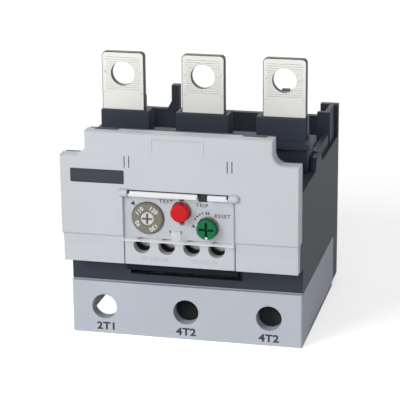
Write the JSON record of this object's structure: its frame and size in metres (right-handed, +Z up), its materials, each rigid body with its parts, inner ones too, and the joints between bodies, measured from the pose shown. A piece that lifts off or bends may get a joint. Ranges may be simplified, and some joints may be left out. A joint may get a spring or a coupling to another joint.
{
  "type": "thermal overload relay",
  "caption": "Three-pole thermal overload relay with tall line tabs, setting dial, test and reset buttons under a clear flip window, and an open-bottomed cable base.",
  "frame": {"origin": "centre of the overall box, on the plane that the relay stands on", "axes": "+Z up, -Y the front with the controls, X along the width"},
  "size_m": [0.095, 0.1012, 0.109],
  "materials": {
    "dark_housing": "fine matte moulded texture",
    "black_moulding": "matte moulding",
    "light_cover": "fine satin moulding",
    "light_panel": "fine satin moulding",
    "light_base": "fine satin moulding",
    "steel_fastener": "zinc plated",
    "brass": "stamped strip",
    "taupe_dial": "satin moulding with pale numbers",
    "white_nylon": "satin moulding",
    "red_plastic": "smooth moulding",
    "green_plastic": "smooth moulding",
    "spring_steel": "drawn wire",
    "flag_plastic": "ribbed moulding",
    "clear_window": "clear polycarbonate moulding",
    "tinned_copper": "tin plated copper bar with fine serrations",
    "heater_alloy": "resistance alloy strip",
    "bimetal": "two-layer strip"
  },
  "bodies": {
    "housing": {"main_case": "dark_housing", "tab_shroud": "dark_housing", "front_cover": "light_cover", "control_panel": "light_panel", "terminal_shroud": "light_base", "contact_block": "black_moulding", "line_tab_1": "tinned_copper", "line_tab_2": "tinned_copper", "line_tab_3": "tinned_copper", "heater_1": "heater_alloy", "heater_2": "heater_alloy", "heater_3": "heater_alloy", "load_bar_1": "tinned_copper", "load_bar_2": "tinned_copper", "load_bar_3": "tinned_copper", "load_bolts": "steel_fastener", "load_washers": "steel_fastener", "load_nuts": "steel_fastener", "aux_terminal_plates": "brass", "aux_screws": "steel_fastener", "aux_clamps": "steel_fastener", "lever_pin": "steel_fastener", "compensator_pin": "steel_fastener", "case_screws": "steel_fastener", "test_spring": "spring_steel", "reset_spring": "spring_steel"},
    "window": {"window_cover": "clear_window"},
    "dial": {"setting_dial": "taupe_dial", "dial_shaft": "white_nylon", "dial_cam": "white_nylon"},
    "compensator": {"compensator_lever": "white_nylon", "compensator_strip": "bimetal"},
    "test_plunger": {"test_button": "red_plastic"},
    "reset_plunger": {"reset_stem": "white_nylon"},
    "reset_head": {"reset_knob": "green_plastic"},
    "flag": {"trip_indicator": "flag_plastic"},
    "trip_slide_body": {"trip_slider": "white_nylon"},
    "differential_slide_body": {"differential_slider": "white_nylon"},
    "lever": {"trip_lever": "white_nylon"},
    "carrier": {"contact_carrier": "white_nylon"},
    "no_leaf": {"no_contact_leaf": "brass"},
    "nc_leaf": {"nc_contact_leaf": "brass"},
    "bimetal_a": {"bimetal_1": "bimetal"},
    "bimetal_b": {"bimetal_2": "bimetal"},
    "bimetal_c": {"bimetal_3": "bimetal"}
  },
  "joints": [
    {"name": "window_hinge", "type": "hinge", "parent": "housing", "child": "window", "pos_m": [0, -0.0478, 0.0631], "axis": [-1, 0, 0], "range_deg": [0, 105]},
    {"name": "dial_turn", "type": "hinge", "parent": "housing", "child": "dial", "pos_m": [-0.0124, -0.0474, 0.053], "axis": [0, -1, 0], "range_deg": [-135, 135]},
    {"name": "compensator_swing", "type": "hinge", "parent": "housing", "child": "compensator", "pos_m": [-0.0194, -0.0164, 0.054], "axis": [0, 0, 1], "range_deg": [-4.7, 4.7]},
    {"name": "test_press", "type": "slide", "parent": "housing", "child": "test_plunger", "axis": [0, 1, 0], "range_m": [0, 0.002], "stiffness_N_per_m": 300, "deforming": ["test_spring"]},
    {"name": "reset_press", "type": "slide", "parent": "housing", "child": "reset_plunger", "axis": [0, 1, 0], "range_m": [0, 0.002], "stiffness_N_per_m": 300, "deforming": ["reset_spring"]},
    {"name": "reset_turn", "type": "hinge", "parent": "reset_plunger", "child": "reset_head", "pos_m": [0.0116, -0.0474, 0.0507], "axis": [0, -1, 0], "range_deg": [0, 90]},
    {"name": "trip_slide", "type": "slide", "parent": "housing", "child": "trip_slide_body", "axis": [-1, 0, 0], "range_m": [0, 0.002], "stiffness_N_per_m": 100},
    {"name": "differential_slide", "type": "slide", "parent": "housing", "child": "differential_slide_body", "axis": [-1, 0, 0], "range_m": [0, 0.0021]},
    {"name": "bimetal_a_bend", "type": "hinge", "parent": "housing", "child": "bimetal_a", "pos_m": [-0.0334, 0.0116, 0.0307], "axis": [0, -1, 0], "range_deg": [0, 5]},
    {"name": "bimetal_b_bend", "type": "hinge", "parent": "housing", "child": "bimetal_b", "pos_m": [0, 0.0116, 0.0307], "axis": [0, -1, 0], "range_deg": [0, 5]},
    {"name": "bimetal_c_bend", "type": "hinge", "parent": "housing", "child": "bimetal_c", "pos_m": [0.0334, 0.0116, 0.0307], "axis": [0, -1, 0], "range_deg": [0, 5]},
    {"name": "lever_swing", "type": "hinge", "parent": "housing", "child": "lever", "pos_m": [0.02, -0.0099, 0.055], "axis": [0, 0, 1], "range_deg": [0, 10]},
    {"name": "carrier_slide", "type": "slide", "parent": "housing", "child": "carrier", "axis": [1, 0, 0], "range_m": [0, 0.0013]},
    {"name": "no_leaf_bend", "type": "hinge", "parent": "housing", "child": "no_leaf", "pos_m": [-0.01235, -0.0185, 0.0457], "axis": [0, 1, 0], "range_deg": [0, 9]},
    {"name": "nc_leaf_bend", "type": "hinge", "parent": "housing", "child": "nc_leaf", "pos_m": [0.01105, -0.0185, 0.0457], "axis": [0, 1, 0], "range_deg": [0, 9]},
    {"name": "flag_slide", "type": "slide", "parent": "housing", "child": "flag", "axis": [0, -1, 0], "range_m": [0, 0.0016]}
  ],
  "couplings": [
    {"joint": "compensator_swing", "follows": "dial_turn", "ratio": 0.0335},
    {"joint": "differential_slide", "follows": "trip_slide", "ratio": 1},
    {"joint": "bimetal_a_bend", "follows": "trip_slide", "rad_per_m": 42},
    {"joint": "bimetal_b_bend", "follows": "trip_slide", "rad_per_m": 42},
    {"joint": "bimetal_c_bend", "follows": "trip_slide", "rad_per_m": 42},
    {"joint": "lever_swing", "follows": "trip_slide", "rad_per_m": 83},
    {"joint": "carrier_slide", "follows": "trip_slide", "ratio": 0.636},
    {"joint": "no_leaf_bend", "follows": "trip_slide", "rad_per_m": 74},
    {"joint": "nc_leaf_bend", "follows": "trip_slide", "rad_per_m": 74},
    {"joint": "flag_slide", "follows": "trip_slide", "ratio": 0.75}
  ]
}
